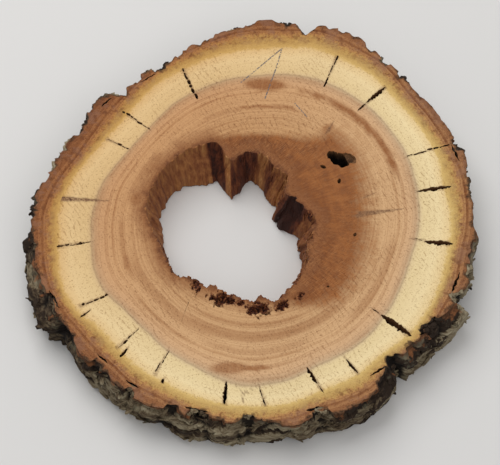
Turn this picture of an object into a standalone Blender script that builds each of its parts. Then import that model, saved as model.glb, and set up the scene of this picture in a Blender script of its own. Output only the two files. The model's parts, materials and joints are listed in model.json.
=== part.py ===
"""A slice of a hollow log: a flat round, sawn square across the grain, with its bark on.

The heart has rotted out and left a ragged hole right through. Cracks opened along the radius as
the wood dried, and one knot left a deep hole of its own.

The part is in metres, +Z up. Its origin is on the lower sawn face, under the middle of the slice.
Angles are in degrees, anticlockwise from +X. Sizes are written in millimetres, times MM.
"""

import math

import bmesh
import bpy
from mathutils import Matrix, Vector, noise

MM = 0.001

THICKNESS = 30
LOG_COLUMNS = 330
LOG_ROWS = 6

# Radius of the bark at the upper sawn face, every 10 degrees from +X.
BARK_RADII = (
    138.5, 139.0, 140.0, 138.5, 138.0, 141.5, 143.0, 143.5, 141.5,
    136.5, 131.5, 126.0, 120.5, 120.5, 124.5, 125.5, 129.0, 131.5,
    135.0, 134.5, 138.0, 137.0, 139.5, 138.5, 139.0, 139.0, 138.0,
    137.5, 139.5, 140.5, 138.5, 132.0, 133.5, 133.5, 139.0, 139.0,
)
UNDERSIDE_SHRINK = 1.5

# Broad plates of bark with furrows between them, and a torn surface.
PLATE_WIDTH = 21.0
PLATE_HEIGHT = 38.0
FURROW_DEPTH = 3.6
FURROW_REACH = 0.16
PLATE_STEP = 2.2
TORN_SIZE = 5.0
TORN_RELIEF = 0.9

# Bites out of the bark's upper edge: angle, half width in degrees, depth.
BITES = (
    (53.0, 1.6, 3.0), (75.2, 3.0, 6.0), (118.5, 2.2, 2.5), (133.5, 2.4, 4.5),
    (163.0, 2.0, 3.0), (231.0, 2.0, 3.5), (238.5, 1.5, 3.5), (257.0, 4.0, 4.0),
    (269.5, 1.8, 3.5), (285.5, 2.6, 5.0), (309.5, 3.0, 4.0), (327.5, 2.6, 4.0),
)

# Slabs of bark coming away: angle and stand-off at one end, angle and stand-off at the other,
# lowest and highest point.
SLABS = (
    (13.0, 0.0, 20.5, 3.0, 6, 30), (56.0, 0.0, 68.0, 2.0, 0, 30), (120.5, 0.0, 128.5, 3.0, 4, 30),
    (170.0, 0.0, 178.5, 2.5, 6, 30), (185.5, 7.5, 211.5, 8.5, 3, 23), (212.5, 1.0, 228.0, 4.0, 0, 24),
    (229.0, 3.0, 247.0, 4.5, 0, 22), (247.5, 4.0, 259.0, 5.0, 0, 20), (259.5, 5.5, 268.5, 5.0, 0, 19),
    (270.0, 3.0, 278.5, 4.5, 0, 18), (279.5, 3.0, 288.0, 2.0, 0, 18), (289.0, 4.0, 309.5, 10.0, 0, 19),
    (313.0, 6.5, 335.0, 9.0, 0, 24), (343.5, 2.5, 357.0, 3.5, 0, 25),
)
SLAB_FADE = 3.0

# The hollow, round its own middle: angle, radius at the upper face, radius at the lower face.
HOLLOW_MIDDLE = (-12.0, -4.0)
HOLLOW_COLUMNS = 216
HOLLOW_ROWS = 6
HOLLOW_RADII = (
    (0, 51.5, 41.5), (8, 47.0, 36.0), (14, 44.5, 30.5), (22, 40.0, 29.5), (30, 38.5, 30.0),
    (36, 41.0, 33.5), (43, 48.0, 37.0), (50, 46.0, 36.0), (57, 44.5, 36.5), (64, 47.5, 40.5),
    (72, 50.0, 43.0), (78, 48.5, 42.0), (82, 46.0, 33.0), (88, 42.5, 32.5), (91, 42.5, 28.0),
    (95, 44.0, 31.5), (99, 54.5, 35.5), (104, 56.0, 43.0), (113, 55.5, 42.0), (124, 56.0, 46.0),
    (137, 55.5, 50.0), (150, 54.5, 49.0), (162, 54.5, 48.0), (172, 53.5, 44.0), (182, 51.5, 43.5),
    (190, 48.5, 43.5), (200, 47.0, 43.5), (212, 48.5, 43.5), (226, 51.0, 44.0), (236, 48.0, 43.5),
    (245, 45.5, 42.5), (251, 49.5, 44.5), (255, 46.5, 43.0), (262, 48.0, 43.5), (269, 50.5, 45.0),
    (278, 55.0, 47.0), (285, 57.0, 49.5), (289, 54.0, 48.0), (295, 61.0, 51.5), (301, 62.0, 52.0),
    (307, 58.0, 50.5), (315, 58.5, 51.0), (322, 54.5, 49.5), (330, 54.5, 49.0), (340, 49.5, 47.0),
    (350, 51.0, 42.0),
)
# Fibres torn loose down the hollow's wall.
FIBRE_WIDTH = 3.6
FIBRE_LENGTH = 26.0
FIBRE_RELIEF = 1.7

# Pits where the rot reached the upper face: x, y, length, width, turn, depth.
PITS = (
    (-33.5, -48.5, 10.0, 5.0, 55.0, 6.0),
    (-17.0, -58.5, 15.0, 7.0, 5.0, 8.0),
    (5.0, -65.0, 11.0, 6.0, 12.0, 7.0),
    (18.0, -62.5, 7.0, 4.0, 30.0, 6.0),
    (55.0, 37.5, 14.0, 8.5, -35.0, 24.0),
    (44.6, 32.5, 4.4, 3.2, 0.0, 5.0),
)
PIT_SIDES = 11
PIT_FLOOR = 0.45

# Drying cracks: angle at the inner end, angle at the outer end, inner and outer radius, width, depth.
CRACKS = (
    (8.4, 8.4, 104.0, 125.0, 2.6, 26), (21.8, 21.2, 105.0, 128.0, 1.7, 20),
    (47.2, 46.4, 99.0, 126.0, 2.6, 26), (62.6, 64.0, 102.0, 127.0, 1.8, 24),
    (113.0, 113.0, 88.0, 113.0, 1.5, 14), (137.2, 138.6, 87.0, 109.0, 1.2, 12),
    (149.6, 150.1, 89.0, 104.0, 1.1, 10), (191.2, 190.9, 100.0, 121.0, 1.5, 16),
    (212.6, 211.2, 103.0, 119.0, 1.4, 14), (213.9, 214.2, 116.0, 125.0, 1.6, 12),
    (228.9, 228.3, 102.5, 120.0, 1.5, 16), (230.6, 230.8, 116.5, 124.5, 1.8, 14),
    (241.6, 241.8, 103.5, 120.0, 1.5, 18), (262.4, 262.8, 114.0, 127.0, 2.4, 26),
    (272.3, 273.8, 115.0, 127.5, 1.6, 20), (287.8, 289.9, 107.0, 126.5, 1.7, 22),
    (300.1, 300.8, 112.0, 123.0, 1.7, 16), (318.8, 319.5, 102.0, 126.0, 4.2, 27),
    (349.8, 350.4, 108.0, 124.5, 2.8, 26),
)
CRACK_SIDES = 8
CRACK_FLOOR = 0.35
CUTTER_PROUD = 1.0

WOOD_COLOUR = (0.60, 0.42, 0.22, 1.0)
WOOD_ROUGHNESS = 0.8


def eased(share):
    """Runs from 0 to 1 with a soft start and end."""
    share = min(max(share, 0.0), 1.0)
    return share * share * (3 - 2 * share)


def bump(degrees, middle, half_width):
    """1 at the middle angle, fading to 0 at half_width either side of it."""
    off = abs((degrees - middle + 180) % 360 - 180)
    return eased(1 - off / half_width)


def slab(degrees, start, start_out, end, end_out):
    """How far a slab of bark stands off the rest at an angle, 0 past its two loose ends."""
    share = (degrees - start) / (end - start)
    return start_out + (end_out - start_out) * share if 0 <= share <= 1 else 0.0


def bark_radius(degrees):
    """The radius read from BARK_RADII, on a smooth closed curve through its points."""
    count = len(BARK_RADII)
    place = degrees / 360 * count
    first = math.floor(place)
    t = place - first
    a, b, c, d = (BARK_RADII[(first + i) % count] for i in (-1, 0, 1, 2))
    return b + 0.5 * t * (c - a + t * (2 * a - 5 * b + 4 * c - d + t * (3 * (b - c) + d - a)))


def bark_relief(degrees, radius, height):
    """How far the bark's own plates stand out: each plate at its own level, furrows between."""
    turn = math.radians(degrees)
    lean = 0.12 * height
    place = Vector((
        (radius * math.cos(turn) + lean) / PLATE_WIDTH,
        radius * math.sin(turn) / PLATE_WIDTH,
        height / PLATE_HEIGHT,
    ))
    distances, points = noise.voronoi(place)
    edge = eased((distances[1] - distances[0]) / FURROW_REACH)
    level = noise.cell(points[0] * 7.3) * PLATE_STEP
    torn = noise.noise(place * (PLATE_WIDTH / TORN_SIZE)) * TORN_RELIEF
    return level + torn - FURROW_DEPTH * (1 - edge)


def log_radius(degrees, height):
    """Radius of the bark's outside at an angle and a height."""
    radius = bark_radius(degrees) - UNDERSIDE_SHRINK * (1 - height / THICKNESS)
    radius += bark_relief(degrees, radius, height)
    for middle, half_width, depth in BITES:
        radius -= depth * bump(degrees, middle, half_width) * eased(height / THICKNESS)
    for *ends, low, high in SLABS:
        inside = min(height - low, high - height) / SLAB_FADE + 1
        radius += slab(degrees, *ends) * eased(inside)
    return radius


def hollow_radius(degrees, height):
    """Radius of the hollow's wall at an angle and a height, with its torn fibres."""
    after = next((i for i, row in enumerate(HOLLOW_RADII) if row[0] > degrees), 0)
    start, top_a, bottom_a = HOLLOW_RADII[after - 1]
    end, top_b, bottom_b = HOLLOW_RADII[after]
    share = (degrees - start) / ((end - start) % 360)
    top = top_a + (top_b - top_a) * share
    bottom = bottom_a + (bottom_b - bottom_a) * share
    radius = bottom + (top - bottom) * eased(height / THICKNESS)
    turn = math.radians(degrees)
    place = Vector((
        radius * math.cos(turn) / FIBRE_WIDTH,
        radius * math.sin(turn) / FIBRE_WIDTH,
        height / FIBRE_LENGTH,
    ))
    return radius + FIBRE_RELIEF * noise.noise(place)


def new_object(name, bm, collection):
    mesh = bpy.data.meshes.new(name)
    bm.to_mesh(mesh)
    bm.free()
    obj = bpy.data.objects.new(name, mesh)
    collection.objects.link(obj)
    return obj


def upright_tube(columns, rows, low, high):
    """A closed cylinder of radius 1 from low to high, banded, in millimetres."""
    bm = bmesh.new()
    bmesh.ops.create_cone(
        bm, cap_ends=True, segments=columns, radius1=1, radius2=1, depth=high - low
    )
    bmesh.ops.translate(bm, verts=bm.verts, vec=(0, 0, (low + high) / 2))
    upright = [e for e in bm.edges if abs(e.verts[0].co.z - e.verts[1].co.z) > 0.5 * (high - low)]
    bmesh.ops.subdivide_edges(bm, edges=upright, cuts=rows - 1)
    return bm


def shape_tube(bm, middle, radius_at):
    """Moves each point of a tube out to the radius that the formula gives, and turns it to metres."""
    for vert in bm.verts:
        degrees = math.degrees(math.atan2(vert.co.y, vert.co.x)) % 360
        radius = radius_at(degrees, min(max(vert.co.z, 0), THICKNESS))
        turn = math.radians(degrees)
        vert.co.x = middle[0] + radius * math.cos(turn)
        vert.co.y = middle[1] + radius * math.sin(turn)
    bmesh.ops.scale(bm, verts=bm.verts, vec=(MM, MM, MM))


def make_log(collection):
    bm = upright_tube(LOG_COLUMNS, LOG_ROWS, 0, THICKNESS)
    shape_tube(bm, (0, 0), log_radius)
    return new_object("wood_slice", bm, collection)


def make_hollow(cutters):
    bm = upright_tube(HOLLOW_COLUMNS, HOLLOW_ROWS, -CUTTER_PROUD, THICKNESS + CUTTER_PROUD)
    shape_tube(bm, HOLLOW_MIDDLE, hollow_radius)
    return new_object("hollow_cutter", bm, cutters)


def make_pit(name, middle, length, width, turn, depth, sides, floor, cutters):
    """A pit that narrows downwards from an oval mouth on the upper face."""
    bm = bmesh.new()
    bmesh.ops.create_cone(
        bm, cap_ends=True, segments=sides, radius1=floor, radius2=1, depth=depth + CUTTER_PROUD
    )
    bmesh.ops.scale(bm, verts=bm.verts, vec=(length / 2, width / 2, 1))
    bmesh.ops.rotate(bm, verts=bm.verts, matrix=Matrix.Rotation(math.radians(turn), 3, "Z"))
    height = THICKNESS + (CUTTER_PROUD - depth) / 2
    bmesh.ops.translate(bm, verts=bm.verts, vec=(*middle, height))
    bmesh.ops.scale(bm, verts=bm.verts, vec=(MM, MM, MM))
    return new_object(name, bm, cutters)


def make_crack(number, inner_angle, outer_angle, inner, outer, width, depth, cutters):
    """A slot along the radius with pointed ends, which narrows downwards."""
    ends = [
        Vector((radius * math.cos(turn), radius * math.sin(turn)))
        for radius, turn in (
            (inner, math.radians(inner_angle)), (outer, math.radians(outer_angle))
        )
    ]
    run = ends[1] - ends[0]
    turn = math.degrees(math.atan2(run.y, run.x))
    return make_pit(
        f"crack_cutter_{number:02d}", (ends[0] + ends[1]) / 2, run.length, width, turn, depth,
        CRACK_SIDES, CRACK_FLOOR, cutters,
    )


def make_cutters(cutters):
    made = [make_hollow(cutters)]
    for number, (x, y, length, width, turn, depth) in enumerate(PITS):
        name = f"pit_cutter_{number:02d}"
        made.append(
            make_pit(name, (x, y), length, width, turn, depth, PIT_SIDES, PIT_FLOOR, cutters)
        )
    for number, row in enumerate(CRACKS):
        made.append(make_crack(number, *row, cutters))
    for cutter in made:
        cutter.hide_render = True
        cutter.display_type = "WIRE"


def cut(obj, cutters):
    """One Boolean takes the hollow, the pits and the cracks out of the log."""
    modifier = obj.modifiers.new("cut", "BOOLEAN")
    modifier.operation = "DIFFERENCE"
    modifier.operand_type = "COLLECTION"
    modifier.collection = cutters
    modifier.solver = "EXACT"


def wood_material():
    material = bpy.data.materials.new("dry_wood")
    material.use_nodes = True
    shader = material.node_tree.nodes["Principled BSDF"]
    shader.inputs["Base Color"].default_value = WOOD_COLOUR
    shader.inputs["Roughness"].default_value = WOOD_ROUGHNESS
    shader.inputs["Metallic"].default_value = 0.0
    return material


def new_collection(name):
    collection = bpy.data.collections.new(name)
    bpy.context.scene.collection.children.link(collection)
    return collection


def main():
    for obj in list(bpy.data.objects):
        bpy.data.objects.remove(obj)
    bpy.context.scene.unit_settings.system = "METRIC"
    parts = new_collection("wood_slice")
    cutters = new_collection("cutters")
    slice_object = make_log(parts)
    make_cutters(cutters)
    cut(slice_object, cutters)
    slice_object.data.materials.append(wood_material())


main()
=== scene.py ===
import json
import math
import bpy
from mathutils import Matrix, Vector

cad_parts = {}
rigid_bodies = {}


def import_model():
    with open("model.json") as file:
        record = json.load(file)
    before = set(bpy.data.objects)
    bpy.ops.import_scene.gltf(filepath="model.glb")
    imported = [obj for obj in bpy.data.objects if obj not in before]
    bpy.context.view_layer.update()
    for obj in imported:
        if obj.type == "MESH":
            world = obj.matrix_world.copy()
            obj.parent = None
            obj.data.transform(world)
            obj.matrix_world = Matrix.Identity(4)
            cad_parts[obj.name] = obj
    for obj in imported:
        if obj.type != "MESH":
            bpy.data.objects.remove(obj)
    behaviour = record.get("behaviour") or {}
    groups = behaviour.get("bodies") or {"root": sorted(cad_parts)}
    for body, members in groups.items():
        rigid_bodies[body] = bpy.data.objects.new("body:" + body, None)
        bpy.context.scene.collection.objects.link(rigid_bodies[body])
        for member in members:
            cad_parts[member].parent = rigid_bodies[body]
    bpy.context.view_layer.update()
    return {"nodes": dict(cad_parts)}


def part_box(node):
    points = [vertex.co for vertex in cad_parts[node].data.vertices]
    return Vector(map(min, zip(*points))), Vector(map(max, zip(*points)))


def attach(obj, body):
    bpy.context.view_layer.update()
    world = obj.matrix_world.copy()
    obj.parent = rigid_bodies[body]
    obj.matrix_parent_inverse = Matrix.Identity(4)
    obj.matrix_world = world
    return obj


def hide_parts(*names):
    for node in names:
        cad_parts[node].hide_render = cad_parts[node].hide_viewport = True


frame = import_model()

from types import SimpleNamespace

import bmesh
import bpy
import numpy as np
from mathutils import Matrix, Vector, noise
from mathutils.bvhtree import BVHTree

# A slice of a hollow log on a pale floor. Two pieces are cut from one log: the wood, and the bark
# round it. Sizes are written in millimetres, times MM. Angles run anticlockwise from +X.

MM = 0.001
SEED = 7
LOW, HIGH = (np.array(corner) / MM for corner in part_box("wood_slice"))
TOP = HIGH[2]

# Where the photographer stood: looking along +Y and down at the slice.
VIEW_ELEVATION = 64.0
VIEW_DISTANCE = 1200.0
VIEW_AIM = (-0.8, -5.9, 15.0)
VIEW_LENS = 139.0
VIEW_SENSOR = 36.0

# Lamps: azimuth, elevation, distance, size and power. Azimuth 0 is in front and 90 to the right.
KEY_LAMP = (-150, 60, 1.8, 1.5, 20.5)
FILL_LAMP = (40, 60, 2.0, 1.8, 9)
SKY_COLOUR = "#F4F5F7"
SKY_STRENGTH = 0.45
# The floor: half its side in metres, and how far it lies below the slice in mm.
FLOOR_COLOUR = "#D6D4D1"
FLOOR_SIZE = 3.0
FLOOR_GAP = 0.2

# Radii that follow the growth of the log, in mm, every 10 degrees from +X.
HEARTWOOD = (
    104.5, 105.0, 105.5, 106.0, 106.5, 106.0, 105.5, 104.5, 101.5, 98.5, 97.0, 94.5,
    92.5, 90.0, 88.0, 89.0, 92.0, 96.0, 98.4, 99.5, 103.0, 104.0, 101.0, 101.5,
    104.0, 107.0, 112.0, 115.0, 113.0, 109.5, 109.0, 108.5, 106.0, 104.0, 102.5, 103.0,
)
CAMBIUM = (
    123.4, 122.0, 123.5, 123.0, 122.5, 125.5, 125.5, 126.0, 121.5, 118.5, 116.5, 113.0,
    111.0, 108.0, 105.0, 105.5, 109.5, 115.5, 119.5, 120.3, 124.5, 125.0, 120.5, 121.5,
    123.5, 125.0, 127.0, 127.0, 127.5, 124.5, 124.5, 122.5, 125.0, 125.0, 124.5, 123.5,
)
OUTER_BARK = (
    130.0, 131.0, 130.0, 129.0, 129.0, 133.0, 134.5, 136.0, 131.5, 129.0, 125.0, 120.5,
    117.0, 114.5, 112.5, 111.5, 114.0, 120.0, 126.0, 126.5, 129.0, 128.5, 126.5, 127.5,
    129.5, 131.0, 134.0, 134.5, 133.5, 131.5, 132.5, 129.0, 130.5, 129.0, 129.0, 128.0,
)
# Where these three lie on the growth coordinate, in mm.
HEARTWOOD_RING, CAMBIUM_RING, OUTER_BARK_RING = 103.0, 123.0, 130.0

# The point in the hollow that its wall is measured from, and how many split plates the wall has.
HOLLOW_MIDDLE = np.array((-12.0, -4.0))
WALL_PLATES = 100
# How torn the wall is, and how light: pairs of an angle and a share.
WALL_SPLITS = (
    (0, 1.0), (60, 0.9), (95, 0.6), (112, 0.3), (120, 0.12), (180, 0.15), (200, 0.5), (230, 1.0),
    (300, 1.0), (360, 1.0),
)
WALL_LIGHT = (
    (0, 0.50), (8, 0.42), (12, 0.14), (24, 0.10), (30, 0.36), (40, 0.58), (50, 0.66), (58, 0.40),
    (64, 0.66), (70, 0.60), (72, 0.20), (84, 0.12), (87, 0.34), (91, 0.38), (92, 0.74), (96, 0.66),
    (97.5, 0.20), (106, 0.22), (107.5, 0.56), (120, 0.60), (160, 0.56), (180, 0.60), (230, 0.45),
    (300, 0.40), (360, 0.50),
)

# How finely the wood and the bark are divided.
WOOD_COLUMNS = 720
WOOD_EDGE_STEP = 0.7
WOOD_EDGE_ROWS = 18
WOOD_FACE_ROWS = 38
WOOD_PIT_ROWS = 26
WOOD_WALL_ROWS = 28
WOOD_UNDER_ROWS = 10
BARK_COLUMNS = 1350
BARK_SIDE_ROWS = 48
BARK_FACE_ROWS = 9
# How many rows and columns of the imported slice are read, how near its two faces, from how far out,
# and over how many columns either side the hollow's rim is evened out.
READ_ROWS = 13
READ_BARK_COLUMNS = 900
READ_RIM_COLUMNS = 360
READ_MARGIN = 0.4
READ_FROM = 400.0
RIM_REACH = 4
# How fast Blender's fractal noise fades, and how much finer each octave is.
FRACTAL = (1.0, 2.1)

# Drying cracks: angle at the inner end, angle at the outer end, inner and outer radius, width,
# depth, and how many short slots the saw left of it.
CRACKS = (
    (8.4, 8.6, 104.0, 125.5, 3.2, 26, 1), (22.1, 21.2, 105.0, 134.0, 1.9, 20, 5),
    (47.2, 46.4, 99.0, 126.0, 3.4, 26, 2), (62.6, 64.0, 101.0, 127.0, 2.1, 24, 4),
    (113.0, 113.0, 88.0, 113.0, 2.4, 14, 6), (137.2, 138.6, 87.0, 109.0, 1.9, 12, 7),
    (149.6, 150.1, 89.0, 104.0, 1.7, 10, 5),
    (191.2, 190.9, 100.0, 121.5, 2.1, 16, 7), (212.6, 211.2, 102.5, 119.5, 2.2, 14, 5),
    (213.9, 214.2, 116.5, 124.5, 1.9, 12, 1), (228.9, 228.3, 102.5, 120.5, 1.8, 16, 4),
    (230.6, 230.8, 116.5, 123.5, 2.4, 14, 1), (241.6, 241.8, 103.5, 120.0, 1.9, 18, 3),
    (244.5, 244.9, 121.0, 124.0, 2.0, 10, 1), (262.4, 262.8, 112.0, 126.5, 2.8, 26, 1),
    (272.3, 273.8, 115.0, 127.0, 1.8, 20, 2), (287.8, 289.9, 107.0, 126.5, 2.2, 22, 2),
    (300.1, 300.8, 112.0, 123.5, 2.0, 16, 1), (318.8, 319.4, 103.5, 126.0, 5.0, 27, 1),
    (318.6, 318.8, 97.0, 102.0, 0.9, 8, 1), (349.6, 350.4, 107.5, 125.0, 3.7, 26, 1),
    (350.0, 350.0, 99.5, 106.5, 0.9, 7, 3),
)
# A slot's step and the height of its lip, in mm, and its width under the lip, at its foot, at a
# pointed end and at a blunt one, as shares of its width.
SLOT_STEP = 0.55
SLOT_LIP = 0.6
SLOT_NECK = 0.95
SLOT_FOOT = 0.30
POINTED = 0.12
BLUNT = 0.5
# A crack broken into slots: how far each break strays, the gap at it and the slots' widths, as
# shares. Past two slots, how far each strays sideways in degrees, and how much depth stays open.
BREAK_STRAY = 0.42
BREAK_GAP = 0.10
SLOT_WIDTHS = (0.4, 1.3)
CRACK_SWAY = 0.28
SHALLOW = 0.35

# Rot that opens the bark along its layers: angle from, angle to, radius, width, depth.
BARK_GAPS = (
    (15.5, 21.0, 134.5, 1.8, 14), (52.2, 53.6, 137.0, 1.4, 12), (121.5, 127.5, 117.0, 1.3, 12),
    (137.0, 141.5, 120.5, 1.4, 10), (203.0, 209.0, 133.0, 1.8, 22), (225.5, 229.5, 131.0, 1.6, 12),
    (236.0, 240.0, 133.0, 1.8, 16), (253.0, 259.0, 133.0, 2.0, 18), (267.0, 271.0, 136.0, 1.6, 14),
    (284.0, 288.5, 133.0, 2.4, 20), (303.0, 308.5, 128.5, 1.8, 14), (321.0, 328.0, 129.5, 2.2, 24),
    (335.0, 342.5, 132.5, 1.8, 22),
)
# How far apart a gap's points are, and how far each strays from the last, in mm.
GAP_STEP = 0.9
GAP_WANDER = 0.35

# The bark's patterns run round a circle of this radius, and lean by so many degrees a millimetre.
BARK_ROUND = 135.0
BARK_LEAN = 0.5
# How rough it is: an angle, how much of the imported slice's furrows stay, and how much relief is
# added.
BARK_ROUGH = (
    (0, 0.3, 0.45), (14, 0.5, 0.7), (25, 0.3, 0.5), (45, 0.5, 0.7), (60, 0.5, 0.6), (71, 0.8, 0.7),
    (79, 0.8, 0.7), (85, 0.4, 0.5), (116, 0.6, 0.7), (136, 0.7, 0.8), (160, 0.6, 0.8),
    (175, 0.6, 0.8), (184, 1.0, 0.9), (190, 0.5, 0.8), (206, 0.5, 0.9), (209, 1.0, 1.0),
    (214, 1.0, 1.0), (217, 0.35, 0.8), (250, 0.4, 0.9), (304, 0.45, 1.0), (308, 1.0, 1.0),
    (315, 1.0, 1.0), (318, 0.5, 1.0), (330, 0.5, 1.0), (333, 1.0, 1.0), (337, 1.0, 1.0),
    (342, 0.6, 1.0), (352, 0.4, 0.6), (360, 0.3, 0.45),
)
# The sizes of its plates, of the steps between its layers and of its shreds, and how far plates,
# layers and shreds stand out and furrows cut in.
PLATE_SIZE = (21.0, 21.0, 11.0)
LAYER_SIZE = (15.0, 15.0, 3.4)
LAYER_STEPS = 4.0
SHRED_SIZE = (3.8, 3.8, 1.8)
PLATE_RELIEF, LAYER_RELIEF, SHRED_RELIEF, FURROW_DEPTH = 1.3, 0.8, 0.7, 1.5
# Where the bark is broken back under its upper edge: angle, half width, depth, how far down.
BREAKS = (
    (6.0, 1.4, 0.6, 8), (12.0, 1.6, 0.9, 12), (20.5, 1.8, 3.5, 12), (46.0, 1.3, 2.2, 12),
    (51.8, 1.6, 3.0, 12), (57.5, 1.5, 2.0, 12), (66.0, 1.2, 1.6, 10), (75.0, 2.6, 1.2, 16),
    (90.0, 1.4, 1.6, 10), (102.0, 1.6, 1.6, 12), (112.0, 1.5, 2.0, 12), (119.5, 2.2, 2.6, 14),
    (127.0, 1.6, 2.6, 12), (134.0, 2.0, 1.2, 12), (144.0, 1.4, 2.0, 12), (152.0, 1.6, 2.6, 12),
    (160.5, 1.6, 2.2, 12), (169.0, 1.6, 2.0, 12), (178.0, 1.6, 2.4, 12),
    (207.0, 4.0, 2.5, 10), (227.6, 1.8, 3.5, 12), (238.6, 1.6, 2.6, 12), (250.0, 1.6, 2.6, 10),
    (257.0, 3.4, 3.6, 12), (261.5, 1.6, 2.0, 10), (269.2, 1.6, 1.6, 12), (287.5, 2.6, 3.6, 12),
    (306.0, 2.6, 2.6, 10), (317.0, 2.0, 2.6, 12), (325.0, 3.0, 3.4, 12), (336.0, 2.4, 2.5, 12),
    (343.5, 2.0, 3.2, 14), (351.0, 1.6, 2.0, 10),
)

# Holes in the heartwood: x, y, length, width, turn, depth.
HOLES = (
    (55.2, 37.3, 14.0, 8.8, -33.0, 22.0), (50.6, 40.6, 7.0, 6.0, 0.0, 15.0),
    (61.2, 38.4, 9.5, 6.5, -30.0, 3.4), (44.8, 32.4, 4.2, 2.4, -30.0, 4.0),
    (54.6, 22.4, 3.4, 2.2, 80.0, 4.0), (63.5, -14.6, 2.6, 2.0, 60.0, 2.2),
    (46.4, -49.5, 1.8, 1.4, 0.0, 1.6), (35.5, -8.5, 2.2, 1.6, 0.0, 2.5),
)
# Pits where rot reached the upper face by the hollow: x, y, length, width, turn, depth.
PITS = (
    (-32.4, -48.0, 9.0, 6.5, 60.0, 5.0), (-17.2, -58.2, 16.0, 9.0, -8.0, 5.0),
    (4.5, -64.2, 14.0, 8.5, 12.0, 5.0), (18.2, -62.0, 9.0, 6.0, 30.0, 4.0),
    (-7.0, -60.0, 6.0, 4.0, 0.0, 3.0), (29.0, -56.4, 6.0, 3.6, 40.0, 3.0),
    (-58.5, 3.0, 7.0, 17.0, 5.0, 5.0), (36.0, -3.0, 5.0, 8.0, 0.0, 5.0),
)

# Loose chips cling to the slice, in a few shapes. They are pressed together within CHIP_SQUEEZE of
# the upper face, where they fill CHIP_FILL of the room.
CHIP_SHAPES = 4
CHIP_SQUEEZE = 1.0
CHIP_FILL = 0.95
# Kinds of chip: length, width and thickness, how lumpy, how many a square metre, how far they tilt
# and turn in degrees, smallest and largest scale, and the seed.
FLAKES = ((8.0, 3.0, 1.1), 0.3, 34000, 7, 25, 0.4, 1.2, 3)
CRUMBS = ((1.9, 1.5, 1.3), 0.8, 700000, 60, 180, 0.4, 1.2, 5)
EDGE_CRUMBS = ((4.0, 2.8, 2.0), 0.6, 420000, 40, 180, 0.35, 1.15, 8)
SPLINTERS = ((0.9, 8.0, 0.8), 0.5, 60000, 8, 12, 0.5, 1.3, 6)
# How thickly flakes lie round the bark: an angle and a share.
FLAKE_PLACES = (
    (0, 0.15), (12, 0.4), (22, 0.1), (110, 0.3), (160, 0.4), (185, 0.7), (200, 1.0), (340, 1.0),
    (352, 0.4), (360, 0.15),
)
# A loose flake is weathered as bark is this far below the upper face, and gets painted shade in lumps of
# this size.
LOOSE_DEEP = 7.0
LOOSE_SHADE_LUMPS = 1.6
# Where the bark's upper edge has crumbled: middle angle and half width.
FRINGES = (
    (7.6, 3.5), (19.9, 2.0), (44.2, 2.5), (52.2, 2.0), (80.9, 2.0), (95.3, 2.0), (118.4, 2.0),
    (123.1, 1.5), (138.2, 3.0), (148.0, 1.2), (157.7, 3.0), (165.0, 1.2), (176.0, 4.0), (188.0, 3.0),
    (208.0, 2.5), (228.0, 1.5), (239.0, 1.5), (257.0, 3.0), (269.0, 1.5), (287.5, 2.0), (306.0, 3.0),
    (326.0, 3.0), (336.0, 3.0), (344.0, 2.0),
)

# The heartwood's red-brown part, which the rot has stained, as a closed outline of x, y.
DARK_HEART = (
    (-30, 50), (-12, 55.5), (12, 55.5), (31, 53), (41, 53), (47, 58), (53, 57), (60, 50), (67, 40),
    (70, 23), (71, 6), (72, -12), (70, -25), (66, -37), (61, -48), (53, -58), (43, -62), (29, -63),
    (22, -58), (10, -45), (-12, -20), (-30, 30),
)
# How softly it ends in mm: on its left-hand side, and on its right.
DARK_HEART_FADES = (5.0, 15.0)

# Stained patches: x, y, length, width, turn, strength.
PATCHES = (
    (9.0, 91.5, 30.0, 9.5, -3.0, 1.0), (-13.0, -102.5, 26.0, 8.5, 2.0, 0.8),
    (2.0, -102.6, 20.0, 4.0, 3.0, 0.85), (43.0, 83.0, 12.0, 4.5, -18.0, 0.9),
    (52.5, 78.5, 4.0, 4.0, 0.0, 0.8), (-71.5, 10.0, 9.0, 10.0, 0.0, 0.6),
    (-71.5, 10.5, 3.0, 3.5, 0.0, 0.9), (-76.0, -33.0, 4.5, 14.0, 12.0, 0.7),
    (-61.0, 35.0, 6.0, 22.0, -30.0, 0.4), (48.5, 60.0, 8.0, 6.0, 30.0, 0.7),
    (54.5, 39.0, 23.0, 17.0, -33.0, 0.55),
)

# Stained arcs that follow the rings: angle from, angle to, ring, width, strength.
ARCS = (
    (12.0, 64.0, 92.5, 6.0, 1.0), (18.0, 52.0, 91.5, 3.0, 1.0), (62.0, 72.0, 92.0, 3.0, 0.6),
    (66.0, 100.0, 78.5, 2.8, 0.9), (98.0, 116.0, 79.5, 2.2, 0.4), (196.0, 262.0, 80.0, 8.0, 0.42),
    (232.0, 318.0, 77.5, 9.0, 0.52), (250.0, 300.0, 76.0, 3.0, 0.45), (238.0, 300.0, 70.5, 5.0, 0.4),
    (306.0, 352.0, 88.0, 7.0, 0.45), (318.0, 344.0, 82.0, 3.0, 0.40), (248.0, 296.0, 86.0, 4.0, 0.35),
    (214.0, 250.0, 90.0, 4.0, 0.35), (180.0, 215.0, 84.0, 5.0, 0.40), (140.0, 178.0, 81.0, 6.0, 0.36),
    (20.0, 60.0, 86.0, 2.4, 0.25), (0.0, 40.0, 97.0, 2.0, 0.2), (104.0, 150.0, 90.0, 2.6, 0.22),
)

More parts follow.
